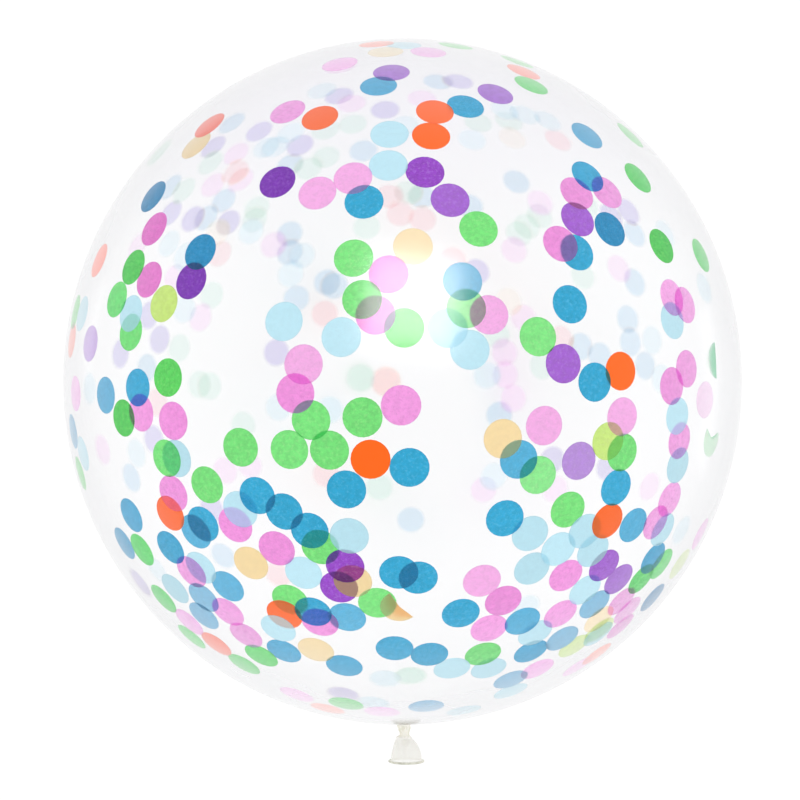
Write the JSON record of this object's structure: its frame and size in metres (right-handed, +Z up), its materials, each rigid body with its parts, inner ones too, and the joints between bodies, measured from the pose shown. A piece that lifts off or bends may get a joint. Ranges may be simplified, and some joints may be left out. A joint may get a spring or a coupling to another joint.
{
  "type": "confetti balloon",
  "caption": "Large clear round latex balloon with coloured paper discs inside, a knotted neck and an open rolled tail, lying on its side.",
  "frame": {"origin": "on the floor under the middle of the balloon's length, with the balloon lying on its side", "axes": "+Z up; -Y along the neck, out of the open tail; +X to the right of someone who looks down with the neck towards them"},
  "size_m": [0.9, 0.968, 0.8977],
  "materials": {
    "clear_latex": "clear, faintly milky, glossy",
    "paper_blue": "thin matt tissue paper",
    "paper_green": "thin matt tissue paper",
    "paper_pink": "thin matt tissue paper",
    "paper_purple": "thin matt tissue paper",
    "paper_orange": "thin matt tissue paper",
    "paper_light_blue": "thin matt tissue paper",
    "paper_apricot": "thin matt tissue paper",
    "paper_lime": "thin matt tissue paper"
  },
  "bodies": {
    "root": {"balloon": "clear_latex"}
  },
  "joints": []
}
